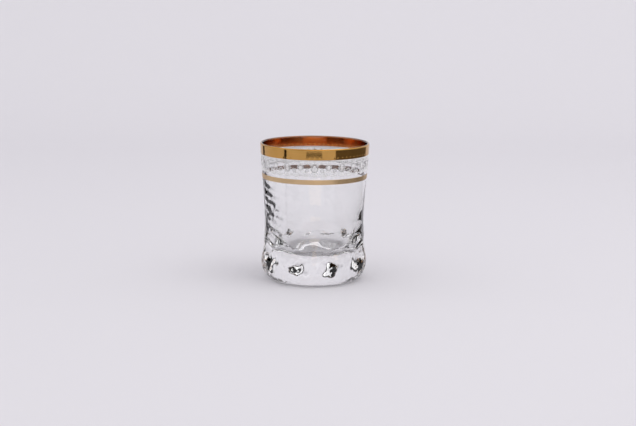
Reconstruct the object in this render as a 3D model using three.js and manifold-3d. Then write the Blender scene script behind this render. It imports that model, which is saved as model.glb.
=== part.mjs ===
// A heavy-based drinking tumbler: a blown glass body with a fired gold band round the lip,
// a lace frieze under it and a thin gold line. Millimetres, +Z up.
// The origin is the centre of the foot, where the glass stands on the table.

import * as THREE from "three";
import Module from "manifold-3d";
import { mergeVertices } from "three/addons/utils/BufferGeometryUtils.js";

// Driving dimensions of the blown body
const HEIGHT = 95.5; // table to the crown of the lip
const WAIST_RADIUS = 34.4; // narrowest ring of the wall
const WAIST_HEIGHT = 43;
const RIM_FLARE = 3.4; // how far the wall leans out from the waist to the lip
const BASE_SWELL = 3.2; // how far the heavy base stands out beyond the waist
const BASE_HEIGHT = 14.5; // height of the base's widest ring above the table
const FOOT_RADIUS = 27; // outer edge of the flat foot
const PUNT_RADIUS = 19; // shallow hollow under the base
const PUNT_DEPTH = 1.6;
const LIP_WALL = 1.6; // thickness of the wall at the lip
const WAIST_WALL = 4.6; // thickness of the wall at the waist
const FLOOR_THICKNESS = 17.6; // solid glass between the table and the drink
const FLOOR_RADIUS = 11; // flat middle of the drink's floor

// Thumbprints pressed into the base
const PRINT_COUNT = 10;
const PRINT_DEPTH = 3.4;
const PRINT_HEIGHT = 21; // deepest point of each print above the table
const PRINT_REACH_UP = 12; // from that point to the print's upper end
const PRINT_REACH_DOWN = 18; // and to its lower end

// Fired decoration, measured down from the crown of the lip
const FILM_THICKNESS = 0.2;
const FILM_CLEARANCE = 0.05; // between a film and the glass it is fired on
const BAND_DEPTH = 7.4;
const LACE_TOP = 7.6;
const LACE_DEPTH = 11.4;
const LINE_TOP = 20.9;
const LINE_DEPTH = 3.3;

// Openwork of the lace
const SCALLOP_COUNT = 36; // scallops of the lower edge
const NOTCH_WIDTH = 1.8; // gap between two scallops
const NOTCH_HEIGHT = 2.4;
const DROP_WIDTH = 1.6; // teardrop pierced in each scallop
const DROP_HEIGHT = 2.6;
const DROP_CENTRE = 3; // above the lower edge of the lace
const WINDOW_COUNT = 24; // clear windows between the medallions
const WINDOW_WIDTH = 4;
const WINDOW_HEIGHT = 2.8;
const WINDOW_CENTRE = 7.3; // above the lower edge of the lace

// Fineness
const SEGMENTS = 100;

const { Manifold, Mesh } = await Module().then((loaded) => {
  loaded.setup();
  return loaded;
});

const RIM_RADIUS = WAIST_RADIUS + RIM_FLARE; // outside of the wall just under the lip
const BASE_RADIUS = WAIST_RADIUS + BASE_SWELL; // widest ring of the base
const LIP_RADIUS = LIP_WALL / 2;
const LIP_HEIGHT = HEIGHT - LIP_RADIUS; // centre of the rounded lip

const MATERIALS = {
  glass: new THREE.MeshStandardMaterial({
    color: 0xdfe4ea,
    roughness: 0.04,
    metalness: 0,
    transparent: true,
    opacity: 0.4,
  }),
  gold: new THREE.MeshStandardMaterial({ color: 0xc8954f, roughness: 0.18, metalness: 1 }),
  lace: new THREE.MeshStandardMaterial({ color: 0xe2dadb, roughness: 0.7, metalness: 0 }),
};

const point = (radius, height) => new THREE.Vector2(radius, height);

/** The wall's outside from the waist up to the lip, a flare that starts upright. */
const upperWall = new THREE.CubicBezierCurve(
  point(WAIST_RADIUS, WAIST_HEIGHT),
  point(WAIST_RADIUS, THREE.MathUtils.lerp(WAIST_HEIGHT, LIP_HEIGHT, 0.17)),
  point(
    THREE.MathUtils.lerp(WAIST_RADIUS, RIM_RADIUS, 0.7),
    THREE.MathUtils.lerp(WAIST_HEIGHT, LIP_HEIGHT, 0.68),
  ),
  point(RIM_RADIUS, LIP_HEIGHT),
);

/** The wall's outside from the base's widest ring up to the waist: a shoulder, then a hollow flank. */
const flank = new THREE.CubicBezierCurve(
  point(BASE_RADIUS, BASE_HEIGHT),
  point(BASE_RADIUS, THREE.MathUtils.lerp(BASE_HEIGHT, WAIST_HEIGHT, 0.23)),
  point(
    THREE.MathUtils.lerp(WAIST_RADIUS, BASE_RADIUS, 0.05),
    THREE.MathUtils.lerp(BASE_HEIGHT, WAIST_HEIGHT, 0.4),
  ),
  point(WAIST_RADIUS, WAIST_HEIGHT),
);

/** The inside of the wall from the lip down to the waist: along the outside at first, then thickening. */
const innerWall = new THREE.CubicBezierCurve(
  point(RIM_RADIUS - LIP_WALL, LIP_HEIGHT),
  point(
    THREE.MathUtils.lerp(RIM_RADIUS - LIP_WALL, WAIST_RADIUS - WAIST_WALL, 0.18),
    THREE.MathUtils.lerp(LIP_HEIGHT, WAIST_HEIGHT, 0.4),
  ),
  point(
    THREE.MathUtils.lerp(RIM_RADIUS - LIP_WALL, WAIST_RADIUS - WAIST_WALL, 0.6),
    THREE.MathUtils.lerp(LIP_HEIGHT, WAIST_HEIGHT, 0.7),
  ),
  point(WAIST_RADIUS - WAIST_WALL, WAIST_HEIGHT),
);

/** The rounded inside corner, from the waist down to the flat of the drink's floor. */
const innerCorner = new THREE.CubicBezierCurve(
  point(WAIST_RADIUS - WAIST_WALL, WAIST_HEIGHT),
  point(
    THREE.MathUtils.lerp(FLOOR_RADIUS, WAIST_RADIUS - WAIST_WALL, 0.96),
    THREE.MathUtils.lerp(FLOOR_THICKNESS, WAIST_HEIGHT, 0.26),
  ),
  point(THREE.MathUtils.lerp(FLOOR_RADIUS, WAIST_RADIUS - WAIST_WALL, 0.72), FLOOR_THICKNESS),
  point(FLOOR_RADIUS, FLOOR_THICKNESS),
);

/** Points of an ellipse quarter or half, given as angles, without its first point. */
function ellipsePoints(centre, radiusAcross, radiusUp, from, to, divisions) {
  const curve = new THREE.EllipseCurve(centre.x, centre.y, radiusAcross, radiusUp, from, to, to < from);
  return curve.getPoints(divisions).slice(1);
}

/** Half section of the underside and heel, from the axis out to the widest ring. */
function underside() {
  const punt = new THREE.CubicBezierCurve(
    point(0, PUNT_DEPTH),
    point(PUNT_RADIUS * 0.5, PUNT_DEPTH),
    point(PUNT_RADIUS * 0.7, 0),
    point(PUNT_RADIUS, 0),
  );
  const heelCentre = point(FOOT_RADIUS, BASE_HEIGHT);
  const heel = ellipsePoints(heelCentre, BASE_RADIUS - FOOT_RADIUS, BASE_HEIGHT, -Math.PI / 2, 0, 8);
  return [...punt.getPoints(3), point(FOOT_RADIUS, 0), ...heel];
}

/** Closed half section of the whole blown body, from the axis under the base to the axis on the floor. */
function bodySection() {
  const outside = [...underside(), ...flank.getPoints(7).slice(1), ...upperWall.getPoints(6).slice(1)];
  const lipCentre = point(RIM_RADIUS - LIP_RADIUS, LIP_HEIGHT);
  const lip = ellipsePoints(lipCentre, LIP_RADIUS, LIP_RADIUS, 0, Math.PI, 4);
  const inside = [...innerWall.getPoints(3).slice(1), ...innerCorner.getPoints(5).slice(1)];
  return { points: [...outside, ...lip, ...inside, point(0, FLOOR_THICKNESS)], outsideCount: outside.length };
}

/** How deep a thumbprint is at this height and turn: a ridge between two prints faces -Y. */
function printDepth(height, turn) {
  const away = height - PRINT_HEIGHT;
  const fromDeepest = away > 0 ? away / PRINT_REACH_UP : -away / PRINT_REACH_DOWN;
  if (fromDeepest >= 1) return 0;
  const along = Math.cos((fromDeepest * Math.PI) / 2) ** 2;
  const across = 0.5 - 0.5 * Math.cos(turn * PRINT_COUNT);
  return PRINT_DEPTH * along * across;
}

/** Turn a half section about Z. */
function turned(points) {
  return new THREE.LatheGeometry(points, SEGMENTS).rotateX(Math.PI / 2);
}

/** The blown body, with the thumbprints pressed into the outside of its base. */
function glassBody() {
  const { points, outsideCount } = bodySection();
  const geometry = turned(points);
  const position = geometry.getAttribute("position");
  for (let index = 0; index < position.count; index += 1) {
    if (index % points.length >= outsideCount) continue;
    const x = position.getX(index);
    const y = position.getY(index);
    const radius = Math.hypot(x, y);
    if (radius <= PUNT_RADIUS) continue;
    const pressed = 1 - printDepth(position.getZ(index), Math.atan2(x, -y)) / radius;
    position.setXY(index, x * pressed, y * pressed);
  }
  return geometry;
}

/** Outside radius of the upper wall at a height. */
function wallRadius(height) {
  let low = 0;
  let high = 1;
  for (let step = 0; step < 40; step += 1) {
    const middle = (low + high) / 2;
    if (upperWall.getPoint(middle).y < height) low = middle;
    else high = middle;
  }
  return upperWall.getPoint((low + high) / 2).x;
}

/** Points up the outside of the wall at a distance from the glass. */
function wallPoints(bottom, top, distance, divisions) {
  const points = [];
  for (let step = 0; step <= divisions; step += 1) {
    const height = THREE.MathUtils.lerp(bottom, top, step / divisions);
    points.push(point(wallRadius(height) + distance, height));
  }
  return points;
}

/** Closed section of a film on the outside of the wall. */
function filmSection(bottom, top, divisions) {
  const inner = wallPoints(bottom, top, FILM_CLEARANCE, divisions);
  const outer = wallPoints(bottom, top, FILM_CLEARANCE + FILM_THICKNESS, divisions);
  return [...outer, ...inner.reverse(), outer[0].clone()];
}

/** The gold band: a film up the wall and over the lip as far as its crown. */
function rimGoldBand() {
  const lipCentre = point(RIM_RADIUS - LIP_RADIUS, LIP_HEIGHT);
  const layer = (distance) => [
    ...wallPoints(HEIGHT - BAND_DEPTH, LIP_HEIGHT, distance, 2),
    ...ellipsePoints(lipCentre, LIP_RADIUS + distance, LIP_RADIUS + distance, 0, Math.PI * 0.42, 2),
  ];
  const outer = layer(FILM_CLEARANCE + FILM_THICKNESS);
  const inner = layer(FILM_CLEARANCE).reverse();
  return turned([...outer, ...inner, outer[0].clone()]);
}

/** A solid that booleans can work on, from a closed geometry. */
function solidOf(geometry) {
  const bare = new THREE.BufferGeometry();
  bare.setAttribute("position", geometry.getAttribute("position").clone());
  bare.setIndex(geometry.getIndex());
  const welded = mergeVertices(bare, 1e-3);
  return new Manifold(
    new Mesh({
      numProp: 3,
      vertProperties: new Float32Array(welded.getAttribute("position").array),
      triVerts: new Uint32Array(welded.getIndex().array),
    }),
  );
}

/** A geometry from a solid. */
function geometryOf(solid) {
  const mesh = solid.getMesh();
  const geometry = new THREE.BufferGeometry();
  geometry.setAttribute("position", new THREE.BufferAttribute(mesh.vertProperties, 3));
  geometry.setIndex(new THREE.BufferAttribute(mesh.triVerts, 1));
  geometry.computeVertexNormals();
  return geometry;
}

/** The cutter for one hole of the lace: an outline pushed out through the wall at a turn. */
function holeCutter(outline, turn) {
  const reach = RIM_RADIUS * 0.4;
  const geometry = new THREE.ExtrudeGeometry(outline, { depth: reach, bevelEnabled: false, curveSegments: 2 });
  geometry.rotateX(Math.PI / 2);
  geometry.translate(0, -RIM_RADIUS + reach * 0.5, 0);
  geometry.rotateZ(turn);
  return solidOf(mergeVertices(geometry.deleteAttribute("normal").deleteAttribute("uv"), 1e-4));
}

/** Pointed arch that parts two scallops, open below the lace's lower edge. */
function notchOutline(bottom) {
  const half = NOTCH_WIDTH / 2;
  const outline = new THREE.Shape();
  outline.moveTo(-half, bottom - 1);
  outline.lineTo(half, bottom - 1);
  outline.quadraticCurveTo(half, bottom + NOTCH_HEIGHT * 0.6, 0, bottom + NOTCH_HEIGHT);
  outline.quadraticCurveTo(-half, bottom + NOTCH_HEIGHT * 0.6, -half, bottom - 1);
  return outline;
}

/** Teardrop pierced in a scallop, its point upward. */
function dropOutline(bottom) {
  const half = DROP_WIDTH / 2;
  const low = bottom + DROP_CENTRE - DROP_HEIGHT / 2;
  const outline = new THREE.Shape();
  outline.moveTo(0, low);
  outline.bezierCurveTo(half * 1.4, low, half * 1.4, low + DROP_HEIGHT * 0.6, 0, low + DROP_HEIGHT);
  outline.bezierCurveTo(-half * 1.4, low + DROP_HEIGHT * 0.6, -half * 1.4, low, 0, low);
  return outline;
}

/** Clear window between two medallions, bowed above and below. */
function windowOutline(bottom) {
  const half = WINDOW_WIDTH / 2;
  const middle = bottom + WINDOW_CENTRE;
  const bow = (WINDOW_HEIGHT * 2) / 3;
  const outline = new THREE.Shape();
  outline.moveTo(-half, middle);
  outline.bezierCurveTo(-half, middle - bow, half, middle - bow, half, middle);
  outline.bezierCurveTo(half, middle + bow, -half, middle + bow, -half, middle);
  return outline;
}

/** The lace frieze: a film with a scalloped lower edge, pierced round the glass. */
function laceFrieze() {
  const top = HEIGHT - LACE_TOP;
  const bottom = top - LACE_DEPTH;
  const scallop = (Math.PI * 2) / SCALLOP_COUNT;
  const medallion = (Math.PI * 2) / WINDOW_COUNT;
  const cutters = [];
  for (let turn = 0; turn < SCALLOP_COUNT; turn += 1) {
    cutters.push(holeCutter(dropOutline(bottom), turn * scallop));
    cutters.push(holeCutter(notchOutline(bottom), (turn + 0.5) * scallop));
  }
  for (let turn = 0; turn < WINDOW_COUNT; turn += 1) {
    cutters.push(holeCutter(windowOutline(bottom), (turn + 0.5) * medallion));
  }
  const sleeve = solidOf(turned(filmSection(bottom, top, 1)));
  return geometryOf(sleeve.subtract(Manifold.union(cutters)));
}

/** The thin gold line under the lace. */
function lowerGoldLine() {
  const top = HEIGHT - LINE_TOP;
  return turned(filmSection(top - LINE_DEPTH, top, 1));
}

/** A named piece of the glass. */
function piece(name, geometry, material) {
  const mesh = new THREE.Mesh(geometry, material);
  mesh.name = name;
  return mesh;
}

const drinkingGlass = new THREE.Group();
drinkingGlass.name = "drinking_glass";
drinkingGlass.add(
  piece("glass_body", glassBody(), MATERIALS.glass),
  piece("rim_gold_band", rimGoldBand(), MATERIALS.gold),
  piece("lace_frieze", laceFrieze(), MATERIALS.lace),
  piece("lower_gold_line", lowerGoldLine(), MATERIALS.gold),
);

export default drinkingGlass;
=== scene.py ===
"""Looks of a heavy-based drinking tumbler with a gold rim, a lace frieze and a gold line.

Sizes are in millimetres, and the meshes hold them in metres. A turn is an angle round the glass in
radians: 0 faces the camera, along -Y, and a quarter turn faces +X.
"""

import logging
import math
from dataclasses import dataclass, field
from enum import Enum

import bpy
import numpy as np
from mathutils import Matrix, Vector


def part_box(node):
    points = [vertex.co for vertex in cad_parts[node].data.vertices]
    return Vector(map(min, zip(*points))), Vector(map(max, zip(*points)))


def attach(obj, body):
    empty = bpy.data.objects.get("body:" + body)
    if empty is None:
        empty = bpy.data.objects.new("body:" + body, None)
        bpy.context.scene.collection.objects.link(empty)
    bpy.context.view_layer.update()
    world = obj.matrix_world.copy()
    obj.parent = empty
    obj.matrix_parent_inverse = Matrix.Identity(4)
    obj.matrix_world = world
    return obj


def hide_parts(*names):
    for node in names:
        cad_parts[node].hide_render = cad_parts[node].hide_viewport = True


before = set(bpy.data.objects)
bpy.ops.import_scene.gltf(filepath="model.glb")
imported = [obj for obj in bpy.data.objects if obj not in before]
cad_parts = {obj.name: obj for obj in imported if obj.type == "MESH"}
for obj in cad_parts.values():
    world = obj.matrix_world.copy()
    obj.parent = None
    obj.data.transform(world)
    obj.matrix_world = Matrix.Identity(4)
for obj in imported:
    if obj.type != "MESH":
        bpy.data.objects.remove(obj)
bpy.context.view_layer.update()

LOG = logging.getLogger("tumbler")
MM = 0.001
BODY = "root"
FULL_TURN = 2.0 * math.pi
PHOTO_WIDTH = 636
SENSOR_WIDTH = 36.0

Material = bpy.types.Material
Node = bpy.types.Node
Piece = bpy.types.Object
Socket = bpy.types.NodeSocket
Tree = bpy.types.NodeTree
Colour = tuple[float, float, float]
Point = tuple[float, float]
Array = np.ndarray
Inputs = dict[str | int, object]
Handles = tuple[Point, Point]
Waves = tuple[tuple[int, float, float], ...]


class FilmSide(Enum):
    """The two faces of a fired film, as material slots of its mesh."""

    OUTSIDE = 0
    UNDERSIDE = 1


class LaceTone(Enum):
    """The two pastes of the lace, as material slots of its mesh."""

    WHITE = 0
    GREY = 1


class Taper(Enum):
    """How the width of a lace stroke changes along it."""

    EVEN = "even"
    LEAF = "leaf"
    DOT = "dot"


def bezier(start: Point, end: Point, handles: Handles, count: int) -> Array:
    """Points along a cubic curve: its ends and handles weighted by the cubic Bernstein polynomials.

    Args:
        start: First point, as radius and height.
        end: Last point.
        handles: Where its two handles lie, as shares of the way from start to end, across and up.
        count: How many points to give, both ends among them.

    Returns:
        An array of count rows of radius and height.
    """
    first = np.array(start)
    last = np.array(end)
    pull, push = (first + (last - first) * np.array(handle) for handle in handles)
    share = np.linspace(0.0, 1.0, count)[:, None]
    rest = 1.0 - share
    begin = rest**3 * first + 3.0 * rest**2 * share * pull
    return begin + (3.0 * rest * share**2 * push + share**3 * last)


def turned(radius: Array, height: Array, turn: Array) -> Array:
    """Points of a turned surface: x is radius sin turn, y is minus radius cos turn, z is height.

    Args:
        radius: Distance from the axis.
        height: Height over the table.
        turn: Angle round the axis. The three arrays share one shape or stretch to it.

    Returns:
        An array of that shape, with x, y and z along a new last axis.
    """
    radius, height, turn = np.broadcast_arrays(radius, height, turn)
    return np.stack([radius * np.sin(turn), -radius * np.cos(turn), height], axis=-1)


def turns(columns: int) -> Array:
    """Evenly spaced turns round the glass, from the back to the back, as one row."""
    return np.linspace(-math.pi, math.pi, columns, endpoint=False)[None, :]


def spaced(count: int) -> Array:
    """Evenly spaced angles round a full turn, starting at 0."""
    return np.linspace(0.0, FULL_TURN, count, endpoint=False)


def grid_quads(rows: int, columns: int, closed_rows: bool = False, closed_columns: bool = True) -> Array:
    """Quads of a grid of points, either direction of which can close on itself.

    Args:
        rows: Rows of points.
        columns: Points in a row.
        closed_rows: Whether the last row joins the first one again.
        closed_columns: Whether the last point of a row joins its first one again.

    Returns:
        An array of point numbers, four to a quad, facing out where rows climb the outside.
    """
    row = np.arange(rows if closed_rows else rows - 1)[:, None]
    column = np.arange(columns if closed_columns else columns - 1)[None, :]
    beside = (column + 1) % columns
    above = (row + 1) % rows
    corners = [row * columns + column, row * columns + beside]
    corners += [above * columns + beside, above * columns + column]
    return np.stack(corners, axis=-1).reshape(-1, 4)


def linked(name: str, data: bpy.types.ID) -> Piece:
    """Adds an object to the scene.

    Args:
        name: Name of the object.
        data: The mesh, light or camera that it holds.

    Returns:
        The object.
    """
    piece = bpy.data.objects.new(name, data)
    bpy.context.scene.collection.objects.link(piece)
    return piece


def mesh_piece(name: str, points: Array, faces: list[Array]) -> Piece:
    """A smooth mesh object at the origin.

    Args:
        name: Name of the object.
        points: Points in millimetres, with x, y and z along the last axis.
        faces: Arrays of point numbers, one row a face, each array with its own corner count.

    Returns:
        The object, linked to the scene.
    """
    points = points.reshape(-1, 3)
    corners = np.concatenate([part.ravel() for part in faces])
    sizes = np.concatenate([np.full(len(part), part.shape[1]) for part in faces])
    starts = np.concatenate([[0], np.cumsum(sizes)[:-1]])
    mesh = bpy.data.meshes.new(name)
    mesh.vertices.add(len(points))
    mesh.vertices.foreach_set("co", (points * MM).ravel())
    mesh.loops.add(len(corners))
    mesh.loops.foreach_set("vertex_index", corners)
    mesh.polygons.add(len(sizes))
    mesh.polygons.foreach_set("loop_start", starts)
    mesh.polygons.foreach_set("use_smooth", np.ones(len(sizes), dtype=bool))
    mesh.update(calc_edges=True)
    mesh.validate()
    return linked(name, mesh)


def settle(piece: Piece, materials: list[Material], node: str) -> None:
    """Dresses a piece, makes it ride with the glass and lets it stand for a CAD node.

    Args:
        piece: The finished piece.
        materials: Its materials, in the order of its mesh's slots.
        node: The CAD node that it replaces.
    """
    for material in materials:
        piece.data.materials.append(material)
    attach(piece, BODY)
    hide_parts(node)
    LOG.info("%s stands for %s with %d faces", piece.name, node, len(piece.data.polygons))


@dataclass(frozen=True)
class NodeDesk:
    """A node tree under work, with short ways to add and join nodes."""

    tree: Tree

    def fill(self, node: Node, values: Inputs) -> None:
        """Sets inputs of a node.

        Args:
            node: The node.
            values: The value that each input gets, or the output that is linked to it.
        """
        for name, value in values.items():
            if isinstance(value, Socket):
                self.tree.links.new(value, node.inputs[name])
            else:
                node.inputs[name].default_value = value

    def add(self, kind: str, values: Inputs, **settings: object) -> Node:
        """Adds a node.

        Args:
            kind: Name of its type.
            values: What its inputs get.
            settings: Values of its properties.

        Returns:
            The node.
        """
        node = self.tree.nodes.new(kind)
        for name, value in settings.items():
            setattr(node, name, value)
        self.fill(node, values)
        return node

    def math(self, operation: str, *values: float | Socket) -> Socket:
        """The result of a Math node with these inputs."""
        return self.add("ShaderNodeMath", dict(enumerate(values)), operation=operation).outputs[0]

    def place(self, group: Tree, **values: float) -> Node:
        """Places a shared group with these input values."""
        return self.add("ShaderNodeGroup", values, node_tree=group)

    def tint(self, share: Socket, low: Colour, high: Colour) -> Socket:
        """A mix of two colours, the low one where the share is 0 and the high one where it is 1."""
        values = {"Factor": share, "A": (*low, 1.0), "B": (*high, 1.0)}
        # The colour result is the third of the node's outputs
        return self.add("ShaderNodeMix", values, data_type="RGBA").outputs[2]

    def bump(self, height: Socket, depth: float) -> Socket:
        """The normal of a Bump node whose height of 1 is this deep in metres."""
        values = {"Strength": 1.0, "Distance": depth, "Height": height}
        return self.add("ShaderNodeBump", values).outputs["Normal"]


class SharedEffects:
    """Node groups that several finishes use, each built once.

    Each group has the inputs Size, Low and High. Its Height is a noise, and its Value is the middle
    of that noise spread over the range from Low to High.
    """

    inputs: dict[str, float] = {"Size": 0.004, "Low": 0.0, "High": 1.0}
    noise_range: Point = (0.3, 0.7)
    mottle_detail: float = 3.0
    streak_detail: float = 2.0
    streak_share: float = 0.7
    cloud_share: float = 0.3
    cloud_scale: float = 110.0

    def __init__(self) -> None:
        """Builds the groups."""
        self.mottle = self.build_mottle()
        self.banding = self.build_banding()

    def open_group(self, name: str) -> tuple[NodeDesk, Node]:
        """Starts a group.

        Args:
            name: Name of the group.

        Returns:
            A desk on the group's tree and its input node.
        """
        group = bpy.data.node_groups.new(name, "ShaderNodeTree")
        for label, value in self.inputs.items():
            socket = group.interface.new_socket(label, in_out="INPUT", socket_type="NodeSocketFloat")
            socket.default_value = value
        for label in ("Value", "Height"):
            group.interface.new_socket(label, in_out="OUTPUT", socket_type="NodeSocketFloat")
        desk = NodeDesk(group)
        return desk, desk.add("NodeGroupInput", {})

    def close_group(self, desk: NodeDesk, inlet: Node, noise: Socket) -> Tree:
        """Gives a group its outputs.

        Args:
            desk: Desk on the group's tree.
            inlet: The group's input node.
            noise: The noise's output, which mostly lies in the noise range.

        Returns:
            The finished group.
        """
        spread = desk.add("ShaderNodeMapRange", {
            "Value": noise,
            "From Min": self.noise_range[0],
            "From Max": self.noise_range[1],
            "To Min": inlet.outputs["Low"],
            "To Max": inlet.outputs["High"],
        })
        desk.add("NodeGroupOutput", {"Value": spread.outputs["Result"], "Height": noise})
        return desk.tree

    def build_mottle(self) -> Tree:
        """A soft cloud whose blotches are Size across.

        Returns:
            The group.
        """
        desk, inlet = self.open_group("mottle")
        noise = desk.add("ShaderNodeTexNoise", {
            "Vector": desk.add("ShaderNodeTexCoord", {}).outputs["Object"],
            "Scale": desk.math("DIVIDE", 1.0, inlet.outputs["Size"]),
            "Detail": self.mottle_detail,
        })
        return self.close_group(desk, inlet, noise.outputs["Fac"])

    def build_banding(self) -> Tree:
        """Level streaks Size high, as a banding brush leaves round a turned glass, with some cloud.

        Returns:
            The group.
        """
        desk, inlet = self.open_group("banding")
        place = desk.add("ShaderNodeTexCoord", {}).outputs["Object"]
        height = desk.add("ShaderNodeSeparateXYZ", {"Vector": place}).outputs["Z"]
        streak = desk.add("ShaderNodeTexNoise", {
            "W": desk.math("DIVIDE", height, inlet.outputs["Size"]),
            "Detail": self.streak_detail,
        }, noise_dimensions="1D")
        cloud = desk.add("ShaderNodeTexNoise", {"Vector": place, "Scale": self.cloud_scale})
        streaks = desk.math("MULTIPLY", streak.outputs["Fac"], self.streak_share)
        clouds = desk.math("MULTIPLY", cloud.outputs["Fac"], self.cloud_share)
        return self.close_group(desk, inlet, desk.math("ADD", streaks, clouds))


def new_material(name: str) -> tuple[Material, NodeDesk, Node]:
    """Starts a material.

    Args:
        name: Name of the material.

    Returns:
        The material, a desk on its tree and its Principled BSDF node.
    """
    material = bpy.data.materials.new(name)
    material.use_nodes = True
    desk = NodeDesk(material.node_tree)
    return material, desk, material.node_tree.nodes["Principled BSDF"]


@dataclass(frozen=True)
class ClearGlass:
    """Blown soda glass: clear, very smooth, with the slow waves of hand work."""

    refraction: float = 1.52
    wave_size: float = 0.011
    wave_depth: float = 0.00006
    low_tint: Colour = (0.975, 0.980, 0.980)
    high_tint: Colour = (1.0, 1.0, 1.0)

    def material(self, effects: SharedEffects) -> Material:
        """Builds the glass, with slow waves in its tint and its normal.

        Args:
            effects: The shared groups.

        Returns:
            The material.
        """
        material, desk, shader = new_material("blown_clear_glass")
        waves = desk.place(effects.mottle, Size=self.wave_size)
        desk.fill(shader, {
            "Base Color": desk.tint(waves.outputs["Value"], self.low_tint, self.high_tint),
            "Roughness": 0.0,
            "IOR": self.refraction,
            "Transmission Weight": 1.0,
            "Normal": desk.bump(waves.outputs["Height"], self.wave_depth),
        })
        return material


@dataclass(frozen=True)
class FiredCoat:
    """A coat fired on the glass: its colour and gloss follow a pattern, and it has a fine relief."""

    name: str
    low_colour: Colour
    high_colour: Colour
    smoothest: float
    roughest: float
    pattern_size: float
    relief_size: float
    relief_depth: float

    def pattern(self, effects: SharedEffects) -> Tree:
        """The shared group that the colour and the gloss follow."""
        return effects.mottle

    def extras(self) -> Inputs:
        """Inputs of the shader that only this kind of coat sets."""
        return {}

    def material(self, effects: SharedEffects) -> Material:
        """Builds the coat.

        Args:
            effects: The shared groups.

        Returns:
            The material.
        """
        material, desk, shader = new_material(self.name)
        pattern = self.pattern(effects)
        tones = desk.place(pattern, Size=self.pattern_size)
        gloss = desk.place(pattern, Size=self.pattern_size, Low=self.smoothest, High=self.roughest)
        relief = desk.place(effects.mottle, Size=self.relief_size)
        desk.fill(shader, {
            "Base Color": desk.tint(tones.outputs["Value"], self.low_colour, self.high_colour),
            "Roughness": gloss.outputs["Value"],
            "Normal": desk.bump(relief.outputs["Height"], self.relief_depth),
            **self.extras(),
        })
        return material


@dataclass(frozen=True)
class FiredGold(FiredCoat):
    """A film of gold that was brushed on and fired: streaked, with a fine speckle."""

    pattern_size: float = 0.0011
    relief_size: float = 0.0009
    relief_depth: float = 0.000004

    def pattern(self, effects: SharedEffects) -> Tree:
        """The streaks of the brush."""
        return effects.banding

    def extras(self) -> Inputs:
        """Makes it metal."""
        return {"Metallic": 1.0}


@dataclass(frozen=True)
class LaceEnamel(FiredCoat):
    """Enamel paste, matt and slightly grainy, thinner here and there, through which light seeps."""

    smoothest: float = 0.42
    roughest: float = 0.62
    pattern_size: float = 0.0014
    relief_size: float = 0.0004
    relief_depth: float = 0.00003
    seep: float = 0.45
    seep_depth: float = 0.001
    seep_colour: Colour = (1.0, 1.0, 1.0)

    def extras(self) -> Inputs:
        """Lets light seep through it."""
        return {"Subsurface Weight": self.seep, "Subsurface Radius": self.seep_colour,
                "Subsurface Scale": self.seep_depth}


BRIGHT_GOLD = FiredGold("fired_bright_gold", (0.50, 0.275, 0.072), (0.66, 0.380, 0.115), 0.05, 0.10)
COPPER_UNDERSIDE = FiredGold("fired_copper_underside", (0.46, 0.172, 0.052), (0.80, 0.315, 0.097),
                             0.06, 0.12)
SATIN_GOLD = FiredGold("fired_satin_gold", (0.58, 0.41, 0.225), (0.74, 0.55, 0.33), 0.34, 0.46)
BROWN_UNDERSIDE = FiredGold("fired_brown_underside", (0.15, 0.085, 0.06), (0.3, 0.18, 0.13), 0.2, 0.34)
WHITE_ENAMEL = LaceEnamel("white_lace_enamel", (0.92, 0.91, 0.92), (0.99, 0.98, 0.98))
GREY_ENAMEL = LaceEnamel("grey_lace_enamel", (0.46, 0.45, 0.46), (0.80, 0.79, 0.80))


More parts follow.
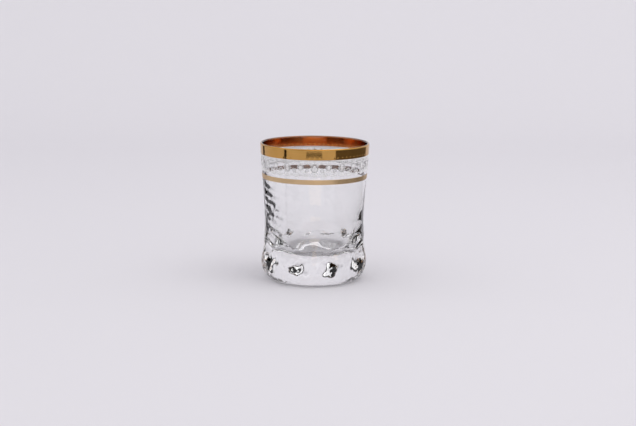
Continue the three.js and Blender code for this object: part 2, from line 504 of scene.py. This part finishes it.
@dataclass(frozen=True)
class WallSection:
    """Half section of the blown body, as radius and height, with the handles of its curves."""

    height: float = 95.5
    rim_radius: float = 37.8
    waist_radius: float = 34.4
    waist_height: float = 43.0
    base_radius: float = 37.6
    base_height: float = 14.5
    foot_radius: float = 27.0
    punt_radius: float = 19.0
    punt_depth: float = 1.6
    lip_wall: float = 1.6
    waist_wall: float = 4.6
    floor_thickness: float = 17.6
    floor_radius: float = 11.0
    punt_curve: Handles = ((0.5, 0.0), (0.7, 1.0))
    flank_curve: Handles = ((0.0, 0.23), (0.95, 0.4))
    flare_curve: Handles = ((0.0, 0.17), (0.7, 0.68))
    inner_curve: Handles = ((0.18, 0.4), (0.6, 0.7))
    corner_curve: Handles = ((0.04, 0.74), (0.28, 1.0))
    punt_rows: int = 24
    foot_rows: int = 6
    heel_rows: int = 46
    flank_rows: int = 46
    upper_rows: int = 80
    lip_rows: int = 12
    inner_rows: int = 70
    corner_rows: int = 40
    floor_rows: int = 8
    fine_rows: int = 400

    @property
    def lip_radius(self) -> float:
        """Radius of the rounded lip."""
        return self.lip_wall / 2.0

    @property
    def lip_height(self) -> float:
        """Height of the centre of the rounded lip."""
        return self.height - self.lip_radius

    def lip_arc(self, end: float, count: int) -> Array:
        """Points round the lip: a circle arc from its outside through an angle.

        Args:
            end: Angle at which the arc ends, half a turn being the inside of the wall.
            count: How many points, without the first one.

        Returns:
            An array of radius and height.
        """
        angle = np.linspace(0.0, end, count + 1)[1:]
        centre = np.array([self.rim_radius - self.lip_radius, self.lip_height])
        return centre + self.lip_radius * np.stack([np.cos(angle), np.sin(angle)], axis=1)

    def upper_wall(self, count: int) -> Array:
        """Outside of the wall from the waist to the lip: a flare that starts upright."""
        waist = (self.waist_radius, self.waist_height)
        return bezier(waist, (self.rim_radius, self.lip_height), self.flare_curve, count)

    def flank(self) -> Array:
        """Outside from the widest ring of the base up to the waist: a shoulder, then a hollow flank."""
        widest = (self.base_radius, self.base_height)
        return bezier(widest, (self.waist_radius, self.waist_height), self.flank_curve, self.flank_rows)

    def underside(self) -> Array:
        """Punt, flat foot and round heel, a quarter of an ellipse.

        Returns:
            Radius and height from near the axis to the widest ring.
        """
        rim = (self.punt_radius, 0.0)
        punt = bezier((0.0, self.punt_depth), rim, self.punt_curve, self.punt_rows)
        foot = np.linspace(rim, (self.foot_radius, 0.0), self.foot_rows)
        angle = np.linspace(-math.pi / 2.0, 0.0, self.heel_rows)[1:, None]
        heel = np.concatenate([self.foot_radius + (self.base_radius - self.foot_radius) * np.cos(angle),
                               self.base_height * (1.0 + np.sin(angle))], axis=1)
        return np.concatenate([punt[1:], foot[1:], heel])

    def outside(self) -> Array:
        """Whole outside, from near the axis under the foot to the start of the lip."""
        return np.concatenate([self.underside(), self.flank()[1:], self.upper_wall(self.upper_rows)[1:]])

    def inside(self) -> Array:
        """Inside of the wall, which thickens downwards, a round corner and a flat floor.

        Returns:
            Radius and height from the lip to near the axis.
        """
        top = (self.rim_radius - self.lip_wall, self.lip_height)
        waist = (self.waist_radius - self.waist_wall, self.waist_height)
        floor = (self.floor_radius, self.floor_thickness)
        wall = bezier(top, waist, self.inner_curve, self.inner_rows)
        corner = bezier(waist, floor, self.corner_curve, self.corner_rows)
        middle = np.linspace(floor, (0.0, self.floor_thickness), self.floor_rows)
        return np.concatenate([wall[1:], corner[1:], middle[1:-1]])

    def wall_radius(self, height: Array) -> Array:
        """Outside radius of the upper wall at these heights."""
        wall = self.upper_wall(self.fine_rows)
        return np.interp(height, wall[:, 1], wall[:, 0])


@dataclass
class GlassBody:
    """The blown glass body with thumbprints pressed into its heavy base."""

    section: WallSection
    print_count: int = 10
    print_depth: float = 2.5
    print_height: float = 21.0
    print_reach_up: float = 12.0
    print_reach_down: float = 18.0
    outer_wave: float = 0.25
    inner_wave: float = 0.22
    calm_share: float = 0.05
    calm_height: float = 32.0
    calm_fade: float = 10.0
    wave_top: float = 80.0
    wave_fade: float = 30.0
    wave_core: float = 20.0
    hollow_shift: float = 1.3
    outer_waves: Waves = ((-17, 23.0, 4.8), (11, 13.0, 1.0), (-23, -17.0, 5.0), (5, 9.0, 0.9),
                          (-37, 11.0, 3.9))
    inner_waves: Waves = ((9, 6.0, 1.0), (-13, 7.0, 3.0), (5, 5.0, 2.0))
    columns: int = 280
    piece: Piece = field(init=False)

    def faded(self, rows: Array) -> Array:
        """Share of the unevenness that is left at each row of points: none at the lip and at the axis."""
        from_lip = np.clip((self.wave_top - rows[:, 1:]) / self.wave_fade, 0.0, 1.0)
        return from_lip * np.clip(rows[:, :1] / self.wave_core, 0.0, 1.0)

    def uneven(self, waves: Waves, rows: Array, turn: Array) -> Array:
        """Unevenness of hand-blown glass: the mean of crossing waves, strong in the base and on the left.

        Each wave is the cosine of a count of turns plus a full turn for each of its lengths in height.
        It fades out towards the lip and the axis. Over the base only a calm share is left on the right.

        Args:
            waves: Count of turns, length in height and start of each wave.
            rows: Radius and height of each row of points.
            turn: Turns round the axis.

        Returns:
            The mean wave, from -1 to 1.
        """
        height = rows[:, 1:]
        parts = [np.cos(count * turn + FULL_TURN * height / length + start)
                 for count, length, start in waves]
        leftness = np.clip(-np.sin(turn), 0.0, 1.0) ** 2
        lowness = np.clip((self.calm_height - height) / self.calm_fade, 0.0, 1.0)
        strength = self.calm_share + (1.0 - self.calm_share) * np.maximum(leftness, lowness)
        return self.faded(rows) * strength * sum(parts) / len(parts)

    def pressed(self, height: Array, turn: Array) -> Array:
        """Depth of the thumbprints: squared cosine up the print times raised cosine round the base.

        A ridge between two prints faces the camera.

        Args:
            height: Heights over the table.
            turn: Turns round the axis.

        Returns:
            How far the surface is pressed towards the axis.
        """
        away = height - self.print_height
        share = away / np.where(away > 0.0, self.print_reach_up, self.print_reach_down)
        along = np.cos(np.clip(share, -1.0, 1.0) * math.pi / 2.0) ** 2
        across = 0.5 - 0.5 * np.cos(turn * self.print_count)
        return self.print_depth * along * across

    def build(self) -> None:
        """Turns the section, presses the prints, moves the hollow to one side and closes both poles."""
        outside = self.section.outside()
        lip = self.section.lip_arc(math.pi, self.section.lip_rows)
        rows = np.concatenate([outside, lip, self.section.inside()])
        turn = turns(self.columns)
        radius = np.repeat(rows[:, :1], self.columns, axis=1)
        base = slice(int(np.argmax(outside[:, 0] > self.section.punt_radius)), len(outside))
        radius[base] -= self.pressed(rows[base, 1:], turn)
        radius[base] += self.outer_wave * self.uneven(self.outer_waves, rows[base], turn)
        hollow = slice(len(outside) + len(lip), len(rows))
        radius[hollow] += self.inner_wave * self.uneven(self.inner_waves, rows[hollow], turn)
        radius[hollow] += self.hollow_shift * self.faded(rows[hollow]) * np.sin(turn)
        rings = turned(radius, rows[:, 1:], turn).reshape(-1, 3)
        poles = np.array([[0.0, 0.0, self.section.punt_depth], [0.0, 0.0, self.section.floor_thickness]])
        column = np.arange(self.columns)
        beside = (column + 1) % self.columns
        last = (len(rows) - 1) * self.columns
        under = np.stack([np.full(self.columns, len(rings)), beside, column], axis=1)
        over = np.stack([last + column, last + beside, np.full(self.columns, len(rings) + 1)], axis=1)
        quads = grid_quads(len(rows), self.columns)
        self.piece = mesh_piece("blown_body", np.concatenate([rings, poles]), [quads, under, over])

    def dress(self, glass: Material) -> None:
        """Gives the body its glass and settles it."""
        settle(self.piece, [glass], "glass_body")


@dataclass
class FiredFilm:
    """A thin film round the wall with a row of small beads and soft edges."""

    name: str
    node: str
    slot: str
    section: WallSection
    bottom: float
    top: float
    bead_count: int = 72
    bead_height: float = 1.15
    bead_radius: float = 0.62
    bead_rise: float = 0.07
    bead_press: float = 0.14
    thickness: float = 0.12
    sunk: float = 0.03
    edge: float = 0.16
    edge_steps: tuple[float, ...] = (0.0, 0.08, 0.3, 0.6, 1.0)
    bead_rows: int = 9
    plain_rows: int = 7
    row_digits: int = 3
    columns: int = 720
    piece: Piece = field(init=False)

    def path(self) -> Array:
        """Points up the wall under the film, closer together at its edges and its beads.

        Returns:
            An array of radius and height.
        """
        length = self.top - self.bottom
        edge = self.edge * np.array(self.edge_steps)
        bead = self.bead_height + self.bead_radius * np.linspace(-1.0, 1.0, self.bead_rows)
        plain = np.linspace(0.0, length, self.plain_rows)[1:-1]
        steps = np.concatenate([edge, length - edge, bead, plain])
        steps = steps[(steps >= 0.0) & (steps <= length)]
        height = self.bottom + np.unique(np.round(steps, self.row_digits))
        return np.stack([self.section.wall_radius(height), height], axis=1)

    def beads(self, along: Array, radius: Array, turn: Array) -> Array:
        """Round beads: one less the squared distance from the nearest bead's centre, never below zero.

        Args:
            along: Distance up the film from its lower edge.
            radius: Radius of the wall there.
            turn: Turns round the axis.

        Returns:
            A share from 0 at a bead's rim and outside it to 1 at its centre.
        """
        pitch = FULL_TURN / self.bead_count
        sideways = ((turn / pitch + 0.5) % 1.0 - 0.5) * pitch * radius
        distance = (sideways**2 + (along - self.bead_height) ** 2) / self.bead_radius**2
        return np.clip(1.0 - distance, 0.0, None)

    def build(self) -> None:
        """Carries the film's section round the axis: a round-edged outer face, then one in the glass."""
        path = self.path()
        slope = np.gradient(path, axis=0)
        normal = np.stack([slope[:, 1], -slope[:, 0]], axis=1) / np.linalg.norm(slope, axis=1)[:, None]
        along = np.concatenate([[0.0], np.cumsum(np.linalg.norm(np.diff(path, axis=0), axis=1))])
        from_edge = np.clip(np.minimum(along, along[-1] - along) / self.edge, 0.0, 1.0)
        body = self.thickness * np.sqrt(1.0 - (1.0 - from_edge) ** 2)
        turn = turns(self.columns)
        beads = self.beads(along[:, None], path[:, :1], turn)
        raised = body[:, None] + self.bead_rise * beads
        pressed = -self.sunk - self.bead_press * beads
        outer, inner = (
            turned(path[:, :1] + normal[:, :1] * shift, path[:, 1:] + normal[:, 1:] * shift, turn)
            for shift in (raised, pressed)
        )
        rows = len(path)
        quads = grid_quads(2 * rows, self.columns, closed_rows=True)
        self.piece = mesh_piece(self.name, np.concatenate([outer, inner[::-1]]), [quads])
        side = np.full(2 * rows, FilmSide.UNDERSIDE.value)
        side[: rows - 1] = FilmSide.OUTSIDE.value
        slots = np.repeat(side, self.columns).astype(np.int32)
        self.piece.data.polygons.foreach_set("material_index", slots)

    def dress(self, outside: Material, underside: Material) -> None:
        """Gives each face of the film its metal and settles the film."""
        settle(self.piece, [outside, underside], self.node)


@dataclass
class RimBand(FiredFilm):
    """The gold band, which runs up the wall and over the lip as far as its crown."""

    lip_end: float = 0.42 * math.pi
    lip_rows: int = 8

    def path(self) -> Array:
        """The wall's points below the lip, then the lip's arc.

        Returns:
            An array of radius and height.
        """
        wall = super().path()
        below = wall[wall[:, 1] < self.section.lip_height]
        return np.concatenate([below, self.section.lip_arc(self.lip_end, self.lip_rows)])


@dataclass(frozen=True)
class Row:
    """Like marks along an edge of the lace: count in a repeat, gap from the edge, half width and sag."""

    count: int
    gap: float
    width: float
    sag: float = 0.0


@dataclass(frozen=True)
class Ring:
    """Marks round a centre: count, half width, where each ends and starts from it, across and up.

    The span holds the directions of the first and the last one of a fan, in half turns.
    """

    count: int
    width: float
    outer: Point
    inner: Point = (0.0, 0.0)
    span: Point = (0.0, 2.0)


@dataclass(frozen=True)
class Flower:
    """An oval line round a ring of petals with a dot in its middle."""

    height: float
    reach: Point
    line: float
    dot: float
    petals: Ring


@dataclass(frozen=True)
class Scroll:
    """A spiral whose radius shrinks evenly and whose line thins, with leaves on its outer turn."""

    centre: Point = (5.0, 4.3)
    radius: float = 1.45
    start: float = -0.35 * math.pi
    sweep: float = 2.4 * math.pi
    width: float = 0.34
    shrink: float = 0.8
    thinning: float = 0.5
    strokes: int = 3
    leaves: int = 6
    leaf_span: Point = (0.06, 0.55)
    leaf_length: float = 0.95
    leaf_width: float = 0.26


@dataclass
class LaceFrieze:
    """The lace frieze: raised enamel strokes on the wall, in medallions, florets, scrolls and swags."""

    section: WallSection
    bottom: float
    top: float
    repeats: int = 12
    stroke_points: int = 9
    rise: float = 0.12
    sunk: float = 0.04
    flat_share: float = 0.62
    leaf_tip: float = 0.03
    dot_tip: float = 0.05
    rail: Row = Row(1, gap=0.3, width=0.3)
    pearls: Row = Row(12, gap=1.2, width=0.5)
    swags: Row = Row(4, gap=1.8, width=0.34, sag=1.0)
    drops: Row = Row(4, gap=2.3, width=0.55)
    rosette: Flower = Flower(6.2, (2.2, 2.7), 0.42, 0.6, Ring(8, 0.5, outer=(1.6, 2.1), inner=(0.5, 0.6)))
    halo: Ring = Ring(12, 0.34, outer=(2.95, 3.3))
    flower: Flower = Flower(6.6, (1.9, 1.9), 0.36, 0.5, Ring(6, 0.55, (1.5, 1.5), inner=(0.35, 0.35)))
    leaves: Ring = Ring(3, 0.42, outer=(3.6, 3.6), inner=(2.1, 2.1), span=(1.3, 1.7))
    curl: Scroll = Scroll()
    scallops: Row = Row(3, gap=1.5, width=0.38, sag=1.1)
    fan: Ring = Ring(5, 0.46, outer=(2.1, 2.0), inner=(0.5, 0.4), span=(0.1, 0.9))
    fan_height: float = 0.9
    arch: Ring = Ring(1, 0.32, outer=(2.6, 2.3))
    arch_height: float = 1.2
    knots: Row = Row(3, gap=0.85, width=0.5)
    drawn: list[Array] = field(init=False, default_factory=list)
    piece: Piece = field(init=False)

    @property
    def radius(self) -> float:
        """Radius of the wall at the middle of the lace."""
        return float(self.section.wall_radius(np.array((self.bottom + self.top) / 2.0)))

    @property
    def half(self) -> float:
        """Half the width of one repeat round the wall."""
        return self.radius * math.pi / self.repeats

    def share(self, tip: float = 0.0) -> Array:
        """Shares along a stroke, from 0 to 1, or from a blunt tip to the other."""
        return np.clip(np.linspace(0.0, 1.0, self.stroke_points), tip, 1.0 - tip)

    def chained(self, count: int) -> Array:
        """Shares along a run of strokes, one row a stroke, each going on where the last one ended."""
        return np.arange(count)[:, None] + self.share()[None, :]

    def stroke(self, across: Array, up: Array | float, width: Array | float, taper: Taper = Taper.EVEN,
               tone: LaceTone = LaceTone.WHITE) -> None:
        """Draws strokes through the points that they follow.

        Args:
            across: Distance round the wall from the middle of the repeat, one row a stroke.
            up: Height over the lower edge of the lace, likewise.
            width: Half of their width where they are widest.
            taper: How the width changes along a stroke.
            tone: The paste that they are drawn with.
        """
        shapes = {
            Taper.EVEN: np.ones(self.stroke_points),
            Taper.LEAF: np.sin(math.pi * self.share(self.leaf_tip)),
            Taper.DOT: np.sin(math.pi * self.share(self.dot_tip)),
        }
        across, up = np.broadcast_arrays(np.atleast_2d(across), np.atleast_2d(up))
        width = np.broadcast_to(width * shapes[taper], across.shape)
        self.drawn.append(np.stack([across, up, width, np.full(across.shape, tone.value)], axis=-1))

    def dots(self, across: Array | float, up: Array | float, width: float) -> None:
        """Draws round dots: strokes one dot long whose width is the chord of a circle.

        Args:
            across: Where they lie across the repeat.
            up: Where they lie over the lower edge of the lace.
            width: Their radius.
        """
        step = -np.cos(math.pi * self.share(self.dot_tip)) * width
        across, up = np.broadcast_arrays(np.atleast_1d(across), np.atleast_1d(up))
        self.stroke(across[:, None] + step, up[:, None], width, Taper.DOT)

    def petals(self, centre: Point, ring: Ring, directions: Array) -> None:
        """Draws leaves that point straight away from a centre.

        Args:
            centre: The centre, across and up.
            ring: Their half width, end and start.
            directions: The direction of each.
        """
        direction = directions[:, None]
        reach = [start + (end - start) * self.share() for start, end in zip(ring.inner, ring.outer)]
        across = centre[0] + np.cos(direction) * reach[0]
        self.stroke(across, centre[1] + np.sin(direction) * reach[1], ring.width, Taper.LEAF)

    def swag(self, row: Row, up: float) -> None:
        """Draws hanging curves side by side, each a parabola that sags in its middle.

        Args:
            row: Their count, half width and sag.
            up: Height of their ends.
        """
        pitch = 2.0 * self.half / row.count
        middle = -self.half + pitch * (np.arange(row.count)[:, None] + 0.5)
        offset = (self.share()[None, :] - 0.5) * pitch
        drop = row.sag * (1.0 - (2.0 * offset / pitch) ** 2)
        self.stroke(middle + offset, up - drop, row.width)

    def bloom(self, across: float, flower: Flower) -> None:
        """Draws a closed oval of four arcs with petals and a dot in it.

        Args:
            across: Where it lies across the repeat.
            flower: Its sizes.
        """
        centre = (across, flower.height)
        angle = self.chained(4) * math.pi / 2.0
        up = flower.height + flower.reach[1] * np.sin(angle)
        self.stroke(across + flower.reach[0] * np.cos(angle), up, flower.line, tone=LaceTone.GREY)
        self.petals(centre, flower.petals, spaced(flower.petals.count))
        self.dots(*centre, flower.dot)

    def upper_border(self) -> None:
        """Draws a rail, a row of pearls and swags with drops, along the top of the lace."""
        top = self.top - self.bottom
        level = np.linspace(-self.half, self.half, self.stroke_points)
        pearls = np.linspace(-self.half, self.half, self.pearls.count, endpoint=False)
        drops = np.linspace(-self.half, self.half, self.drops.count, endpoint=False)
        self.stroke(level, top - self.rail.gap, self.rail.width)
        self.dots(pearls, top - self.pearls.gap, self.pearls.width)
        self.swag(self.swags, top - self.swags.gap)
        self.dots(drops, top - self.drops.gap, self.drops.width)

    def medallion(self) -> None:
        """Draws the tall medallion in the middle of the repeat: a rosette in a ring of pearls."""
        self.bloom(0.0, self.rosette)
        angle = spaced(self.halo.count)
        up = self.rosette.height + self.halo.outer[1] * np.sin(angle)
        self.dots(self.halo.outer[0] * np.cos(angle), up, self.halo.width)

    def floret(self) -> None:
        """Draws the round flower between two medallions, at the end of the repeat, and its leaves."""
        self.bloom(self.half, self.flower)
        directions = np.linspace(*self.leaves.span, self.leaves.count) * math.pi
        self.petals((self.half, self.flower.height), self.leaves, directions)

    def scrolls(self) -> None:
        """Draws a leafy scroll on each side of the medallion, under the clear windows."""
        curl = self.curl
        share = self.chained(curl.strokes) / curl.strokes
        angle = curl.start + curl.sweep * share
        distance = curl.radius * (1.0 - curl.shrink * share)
        across = curl.centre[0] + distance * np.cos(angle)
        up = curl.centre[1] + distance * np.sin(angle)
        for side in (1.0, -1.0):
            self.stroke(side * across, up, curl.width * (1.0 - curl.thinning * share), tone=LaceTone.GREY)
            for spot in np.linspace(*curl.leaf_span, curl.leaves):
                near = curl.radius * (1.0 - curl.shrink * spot)
                far = near + curl.leaf_length
                leaf = Ring(1, curl.leaf_width, outer=(side * far, far), inner=(side * near, near))
                direction = np.array([curl.start + curl.sweep * spot])
                self.petals((side * curl.centre[0], curl.centre[1]), leaf, direction)

    def lower_border(self) -> None:
        """Draws hanging scallops, each with a fan of petals under an arch and a knot at its root."""
        self.swag(self.scallops, self.scallops.gap)
        pitch = 2.0 * self.half / self.scallops.count
        fan = np.linspace(*self.fan.span, self.fan.count) * math.pi
        angle = self.chained(2) * math.pi / 2.0
        for middle in pitch * (np.arange(self.knots.count) - (self.knots.count - 1) / 2.0):
            self.petals((middle, self.fan_height), self.fan, fan)
            up = self.arch_height + self.arch.outer[1] * np.sin(angle)
            self.stroke(middle + self.arch.outer[0] * np.cos(angle), up, self.arch.width)
            self.dots(middle, self.knots.gap, self.knots.width)

    def carried(self, strokes: Array) -> Array:
        """Carries a low ridge along every stroke of every repeat and wraps it round the wall.

        The ridge has four points: two in the glass at the stroke's edges, and two above them drawn in.

        Args:
            strokes: Across, up, half width and tone of every stroke's points.

        Returns:
            Points as an array of repeats, strokes, steps, ridge points and x, y, z.
        """
        slope = np.gradient(strokes[..., :2], axis=1)
        slope /= np.linalg.norm(slope, axis=-1, keepdims=True)
        left = np.stack([-slope[..., 1], slope[..., 0]], axis=-1)
        sideways = np.array([1.0, self.flat_share, -self.flat_share, -1.0])
        lifted = np.array([-self.sunk, self.rise, self.rise, -self.sunk])
        shift = strokes[..., 2, None] * sideways
        across = strokes[..., 0, None] + left[..., 0, None] * shift
        height = self.bottom + strokes[..., 1, None] + left[..., 1, None] * shift
        start = np.arange(self.repeats) * FULL_TURN / self.repeats
        turn = across[None] / self.radius + start[:, None, None, None]
        return turned(self.section.wall_radius(height) + lifted, height, turn)

    def build(self) -> None:
        """Draws all strokes and puts them into one mesh, each a closed ridge."""
        self.upper_border()
        self.medallion()
        self.floret()
        self.scrolls()
        self.lower_border()
        strokes = np.concatenate(self.drawn)
        points = self.carried(strokes)
        count = points.shape[0] * points.shape[1]
        steps, corners = points.shape[2:4]
        sides = grid_quads(steps, corners)
        ends = np.stack([np.arange(corners)[::-1], (steps - 1) * corners + np.arange(corners)])
        one = np.concatenate([sides, ends])
        first = np.arange(count)[:, None, None] * steps * corners
        self.piece = mesh_piece("lace_strokes", points, [(first + one).reshape(-1, 4)])
        tone = np.tile(np.repeat(strokes[:, 0, 3].astype(np.int32), len(one)), self.repeats)
        self.piece.data.polygons.foreach_set("material_index", tone)

    def dress(self, white: Material, grey: Material) -> None:
        """Gives the strokes their two pastes and settles them."""
        settle(self.piece, [white, grey], "lace_frieze")


@dataclass(frozen=True)
class PhotoCamera:
    """The camera at the photograph's viewing angle."""

    distance: float = 1090.0
    height: float = 237.3
    pitch: float = 9.96
    roll: float = 0.55
    yaw: float = 0.14
    focal_pixels: float = 1586.0

    def build(self) -> None:
        """Places the camera: its axes are those of a pitched, turned view, then rolled about it."""
        pitch, roll, yaw = (math.radians(angle) for angle in (self.pitch, self.roll, self.yaw))
        flat = math.cos(pitch)
        ahead = Vector((math.sin(yaw) * flat, math.cos(yaw) * flat, -math.sin(pitch)))
        level = Vector((math.cos(yaw), -math.sin(yaw), 0.0))
        upright = level.cross(ahead)
        right = level * math.cos(roll) + upright * math.sin(roll)
        up = upright * math.cos(roll) - level * math.sin(roll)
        data = bpy.data.cameras.new("photo_camera")
        data.sensor_width = SENSOR_WIDTH
        data.lens = self.focal_pixels * SENSOR_WIDTH / PHOTO_WIDTH
        camera = linked("photo_camera", data)
        camera.matrix_world = Matrix((right, up, -ahead)).transposed().to_4x4()
        camera.matrix_world.translation = Vector((0.0, -self.distance, self.height)) * MM
        bpy.context.scene.camera = camera


def stage_piece(name: str, points: Array, colour: Colour, glow: float = 0.0,
                plain: bool = False) -> Piece:
    """A piece of the studio, made from a grid of points.

    Args:
        name: Name of the piece.
        points: Grid of points in millimetres.
        colour: Colour of its face.
        glow: Strength of its own light.
        plain: Whether the camera and soft light see it too, not only mirrors and the glass.

    Returns:
        The piece, linked to the scene.
    """
    quads = grid_quads(*points.shape[:2], closed_columns=False)
    piece = mesh_piece(name, points, [quads])
    material, desk, shader = new_material(name)
    desk.fill(shader, {
        "Base Color": (*colour, 1.0),
        "Specular IOR Level": 0.0,
        "Emission Color": (*colour, 1.0),
        "Emission Strength": glow,
    })
    piece.data.materials.append(material)
    piece.visible_camera = plain
    piece.visible_diffuse = plain
    piece.visible_shadow = plain
    return piece


@dataclass(frozen=True)
class Card:
    """A standing card, part of a large sphere, by azimuth, 0 being in front, and elevation in degrees."""

    name: str
    colour: Colour
    azimuth: float
    elevation: float
    half_width: float
    half_height: float
    glow: float = 0.0
    distance: float = 1900.0
    steps: int = 13

    def build(self) -> None:
        """Builds the card as a grid of azimuth and elevation."""
        steps = np.linspace(-1.0, 1.0, self.steps)
        azimuth = np.radians(self.azimuth + self.half_width * steps)[None, :]
        elevation = np.radians(self.elevation + self.half_height * steps)[:, None]
        points = turned(self.distance * np.cos(elevation), self.distance * np.sin(elevation), azimuth)
        stage_piece(self.name, points, self.colour, self.glow)


@dataclass(frozen=True)
class FloorCard:
    """A card just over the floor that only metal mirrors: a sector of a ring, azimuths in degrees."""

    name: str
    colour: Colour
    azimuths: Point
    distances: Point = (170.0, 650.0)
    height: float = 1.0
    columns: int = 13
    rows: int = 5

    def build(self) -> None:
        """Builds the card as a grid of distance and azimuth."""
        azimuth = np.radians(np.linspace(*self.azimuths, self.columns))[None, :]
        distance = np.linspace(*self.distances, self.rows)[:, None]
        card = stage_piece(self.name, turned(distance, np.array(self.height), azimuth), self.colour)
        card.visible_transmission = False


@dataclass
class Studio:
    """Plain pale sweep, soft light, and cards that the gold mirrors and the base of the glass shows."""

    paper: Colour = (0.73, 0.717, 0.748)
    sky: Colour = (1.0, 0.99, 1.01)
    backdrop: Colour = (0.72, 0.705, 0.735)
    dark: Colour = (0.02, 0.016, 0.012)
    dim: Colour = (0.13, 0.115, 0.10)
    brown: Colour = (0.30, 0.15, 0.07)
    warm: Colour = (1.0, 0.80, 0.58)
    gap_under_foot: float = 0.05
    half_width: float = 2500.0
    front: float = -1500.0
    bend_start: float = 700.0
    bend_radius: float = 500.0
    wall_height: float = 2200.0
    floor_rows: int = 9
    bend_rows: int = 16
    columns: int = 9
    lamp_place: tuple[float, float, float] = (600.0, -250.0, 1300.0)
    lamp_aim: tuple[float, float, float] = (-50.0, 700.0, 250.0)
    lamp_colour: Colour = (1.0, 0.99, 0.97)
    lamp_watts: float = 3.0
    lamp_size: float = 900.0

    def sweep(self) -> None:
        """The floor and backdrop in one: level, then a quarter circle, then a wall."""
        level = np.linspace(self.front, self.bend_start, self.floor_rows, endpoint=False)
        angle = np.linspace(0.0, math.pi / 2.0, self.bend_rows)
        bend = self.bend_start + self.bend_radius * np.sin(angle)
        lifted = self.bend_radius * (1.0 - np.cos(angle))
        depth = np.concatenate([level, bend, bend[-1:]])[:, None]
        rise = np.concatenate([np.zeros(self.floor_rows), lifted, [self.wall_height]])[:, None]
        across = np.linspace(-self.half_width, self.half_width, self.columns)[None, :]
        points = np.stack(np.broadcast_arrays(across, depth, rise - self.gap_under_foot), axis=-1)
        stage_piece("paper_sweep", points, self.paper, plain=True)

    def cards(self) -> None:
        """Dark cards round the glass, on the floor and standing, a brown one and a warm one in front."""
        cards = [
            FloorCard("right_floor_card", self.dim, azimuths=(43.0, 134.0)),
            FloorCard("left_floor_strip", self.dark, azimuths=(-65.0, -59.0)),
            FloorCard("left_back_strip", self.dark, azimuths=(-138.0, -129.0)),
            FloorCard("front_floor_patch", self.dark, azimuths=(-17.0, 15.0), distances=(356.0, 380.0)),
            Card("right_card", self.dark, azimuth=91.0, elevation=7.5, half_width=43.0, half_height=3.5),
            Card("left_card", self.dark, azimuth=-77.0, elevation=7.5, half_width=57.0, half_height=3.5),
            Card("brown_card", self.brown, azimuth=0.0, elevation=18.0, half_width=50.0, half_height=9.0),
            Card("front_card", self.warm, azimuth=4.0, elevation=5.0, half_width=16.0, half_height=5.0,
                 glow=1.3),
        ]
        for card in cards:
            card.build()

    def world(self) -> None:
        """An even world, which the camera sees as more paper."""
        world = bpy.data.worlds.new("studio_world")
        world.use_nodes = True
        desk = NodeDesk(world.node_tree)
        sky = world.node_tree.nodes["Background"]
        desk.fill(sky, {"Color": (*self.sky, 1.0)})
        seen = desk.add("ShaderNodeBackground", {"Color": (*self.backdrop, 1.0)})
        choice = desk.add("ShaderNodeMixShader", {
            "Fac": desk.add("ShaderNodeLightPath", {}).outputs["Is Camera Ray"],
            1: sky.outputs["Background"],
            2: seen.outputs["Background"],
        })
        desk.fill(world.node_tree.nodes["World Output"], {"Surface": choice.outputs["Shader"]})
        bpy.context.scene.world = world

    def lamp(self) -> None:
        """One soft lamp from the front right, above."""
        data = bpy.data.lights.new("soft_lamp", "AREA")
        data.energy = self.lamp_watts
        data.size = self.lamp_size * MM
        data.color = self.lamp_colour
        lamp = linked("soft_lamp", data)
        lamp.location = Vector(self.lamp_place) * MM
        aim = Vector(self.lamp_aim) * MM - lamp.location
        lamp.rotation_euler = aim.to_track_quat("-Z", "Y").to_euler()

    def build(self) -> None:
        """Sets up the sweep, the cards, the light and the camera."""
        self.sweep()
        self.cards()
        self.world()
        self.lamp()
        PhotoCamera().build()
        bpy.context.scene.view_settings.view_transform = "Standard"


def heights(node: str) -> Point:
    """Lowest and highest height of a CAD node in millimetres."""
    low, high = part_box(node)
    return low.z / MM, high.z / MM


def main() -> None:
    """Builds and dresses the glass, its gold and its lace, and sets up the studio."""
    logging.basicConfig(level=logging.INFO, format="%(name)s: %(message)s")
    effects = SharedEffects()
    section = WallSection(height=heights("glass_body")[1])

    body = GlassBody(section)
    body.build()
    body.dress(ClearGlass().material(effects))

    band = RimBand("rim_band", "rim_gold_band", "bright_gold", section,
                   bottom=heights("rim_gold_band")[0], top=section.lip_height)
    band.build()
    band.dress(BRIGHT_GOLD.material(effects), COPPER_UNDERSIDE.material(effects))

    lace = LaceFrieze(section, *heights("lace_frieze"))
    lace.build()
    lace.dress(WHITE_ENAMEL.material(effects), GREY_ENAMEL.material(effects))

    line = FiredFilm("gold_line", "lower_gold_line", "satin_gold", section, *heights("lower_gold_line"))
    line.build()
    line.dress(SATIN_GOLD.material(effects), BROWN_UNDERSIDE.material(effects))

    Studio().build()


if __name__ == "__main__":
    main()
